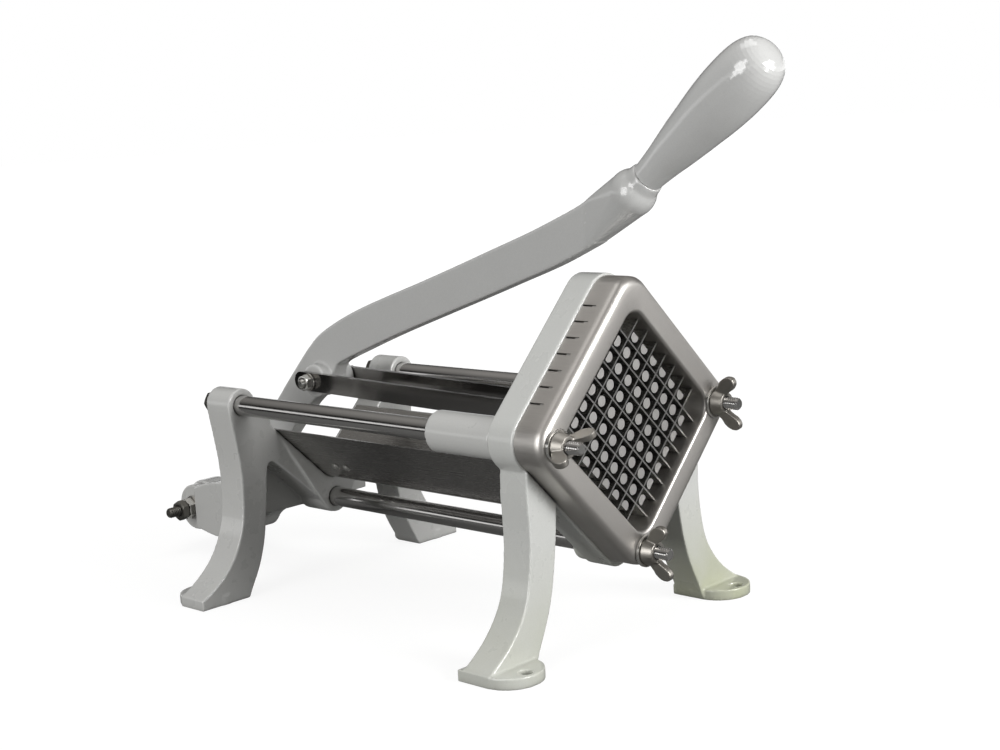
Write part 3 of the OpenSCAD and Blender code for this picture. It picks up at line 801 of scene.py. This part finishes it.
def make_floor():
    """A pale table top: white to the camera, softly shadowed, and dark far from the object."""
    table_edge, table_end, far_tone = 0.55, 0.95, 0.06
    near_white, white_from, white_at = 0.87, 0.3, 1.6
    tone = (0.17, 0.17, 0.167, 1)
    side = 12.0
    material, g, out = bare_material("studio_floor")
    camera = g.add("ShaderNodeLightPath").outputs["Is Camera Ray"]
    place = g.add("ShaderNodeTexCoord").outputs["Object"]
    reach = g.add("ShaderNodeVectorMath", {0: place}, operation="LENGTH").outputs["Value"]
    table = g.spread(reach, table_edge, table_end, 1.0, far_tone)
    shown = g.math("MAXIMUM", camera, table)
    paint = g.add("ShaderNodeBsdfDiffuse", {"Color": g.mix(shown, (0, 0, 0, 1), tone)})
    white = g.spread(reach, white_from, white_at, near_white, 1.0)
    glow = g.add("ShaderNodeEmission", {"Color": (1, 1, 1, 1),
                                        "Strength": g.math("MULTIPLY", camera, white)})
    both = g.add("ShaderNodeAddShader", {0: paint.outputs[0], 1: glow.outputs[0]})
    g.link(both.outputs[0], out.inputs["Surface"])
    floor = bpy.data.objects.new("studio_floor", mesh_from("studio_floor", [
        (-side, -side, 0), (side, -side, 0), (side, side, 0), (-side, side, 0)],
        [(0, 1, 2, 3)]))
    floor.data.materials.append(material)
    bpy.context.scene.collection.objects.link(floor)


def make_world():
    """White behind the object and in its reflections, plain grey as a light."""
    grey_light = 0.36
    world = bpy.data.worlds.new("studio")
    bpy.context.scene.world = world
    world.use_nodes = True
    world.node_tree.nodes.clear()
    g = Graph(world.node_tree)
    out = g.add("ShaderNodeOutputWorld")
    path = g.add("ShaderNodeLightPath")
    seen = g.math("MAXIMUM", path.outputs["Is Camera Ray"],
                  g.math("MAXIMUM", path.outputs["Is Glossy Ray"],
                         path.outputs["Is Transmission Ray"]))
    dim = g.add("ShaderNodeBackground", {"Color": (1, 1, 1, 1), "Strength": grey_light})
    white = g.add("ShaderNodeBackground", {"Color": (1, 1, 1, 1), "Strength": 1.0})
    mixed = g.add("ShaderNodeMixShader", {0: seen, 1: dim.outputs[0], 2: white.outputs[0]})
    g.link(mixed.outputs[0], out.inputs["Surface"])


def make_lamp(name, place, aim, width, height, power):
    """A soft box in metres and watts, turned from its place towards its aim."""
    data = bpy.data.lights.new(name, "AREA")
    data.shape = "RECTANGLE"
    data.size = width
    data.size_y = height
    data.energy = power
    lamp = bpy.data.objects.new(name, data)
    bpy.context.scene.collection.objects.link(lamp)
    lamp.location = place
    lamp.rotation_euler = (Vector(place) - Vector(aim)).to_track_quat("Z", "Y").to_euler()
    lamp.visible_camera = False


def make_dark_tent(middle):
    """Dark cloth above the horizon, which polished metal mirrors; it casts no shadow."""
    low_edge, high_edge, low_glow, high_glow = 1.1, 2.8, 0.02, 0.45
    around = 48
    rows = ((2.9, 0.62), (2.9, 1.6), (2.0, 2.5), (0.0, 2.9))        # radius and height
    cloth, g, out = bare_material("dark_cloth")
    place = g.add("ShaderNodeTexCoord").outputs["Object"]
    height = g.add("ShaderNodeSeparateXYZ", {0: place}).outputs["Z"]
    glow = g.add("ShaderNodeEmission", {"Color": (1.0, 0.97, 0.93, 1), "Strength": g.spread(
        height, low_edge, high_edge, low_glow, high_glow)})
    g.link(glow.outputs[0], out.inputs["Surface"])
    points = [(middle[0] + r * math.cos(TAU * k / around),
               middle[1] + r * math.sin(TAU * k / around), z)
              for r, z in rows for k in range(around)]
    faces = band_faces(len(rows), around)
    tent = bpy.data.objects.new("dark_tent", mesh_from("dark_tent", points, faces))
    tent.data.materials.append(cloth)
    bpy.context.scene.collection.objects.link(tent)
    tent.visible_camera = False
    tent.visible_diffuse = False
    tent.visible_shadow = False


def make_studio():
    make_floor()
    make_world()
    middle, face = (0.0, 0.12, 0.12), (0.0, 0.0, 0.10)
    make_dark_tent(middle)
    make_lamp("key_softbox", (0.18, -0.92, 0.40), face, width=0.55, height=0.45, power=12)
    make_lamp("left_softbox", (-1.75, 0.1, 0.55), middle, width=0.9, height=1.1, power=19)
    make_lamp("top_softbox", (0.1, 0.3, 1.9), middle, width=1.4, height=1.0, power=8)


make_camera()
make_castings()
make_grip()
make_rods()
make_rod_fasteners()
make_wing_nuts()
make_pan()
make_grid()
make_trough()
make_links()
make_cross_bolts()
make_studio()

view = bpy.context.scene.view_settings
view.view_transform = "Standard"
